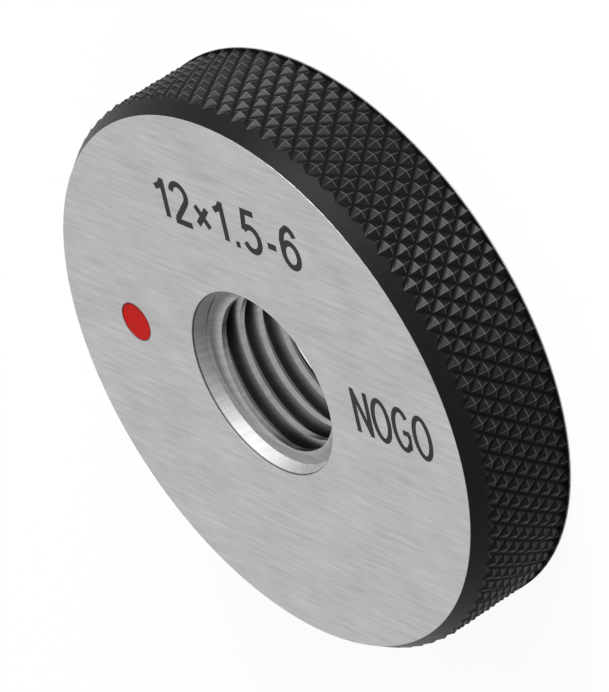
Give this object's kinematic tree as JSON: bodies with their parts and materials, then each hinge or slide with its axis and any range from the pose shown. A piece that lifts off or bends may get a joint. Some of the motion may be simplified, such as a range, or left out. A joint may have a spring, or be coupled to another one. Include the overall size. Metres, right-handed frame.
{
  "type": "thread ring gauge",
  "caption": "Flat steel ring gauge with an internal metric thread, a diamond-knurled rim and a red not-go mark; screwed onto an external thread to check its size.",
  "frame": {"origin": "centre of the ring on the plane of its rear face, at the middle of the bounding box's base", "axes": "+Z along the thread axis and out of the marked face; +X along the reading direction of the marks; +Y towards the top of the marks"},
  "size_m": [0.038, 0.038, 0.0075],
  "materials": {
    "ring_steel": "ground steel faces, blackened rim",
    "mark_enamel": "smooth red enamel"
  },
  "bodies": {
    "root": {"ring_body": "ring_steel", "red_mark": "mark_enamel"}
  },
  "joints": []
}
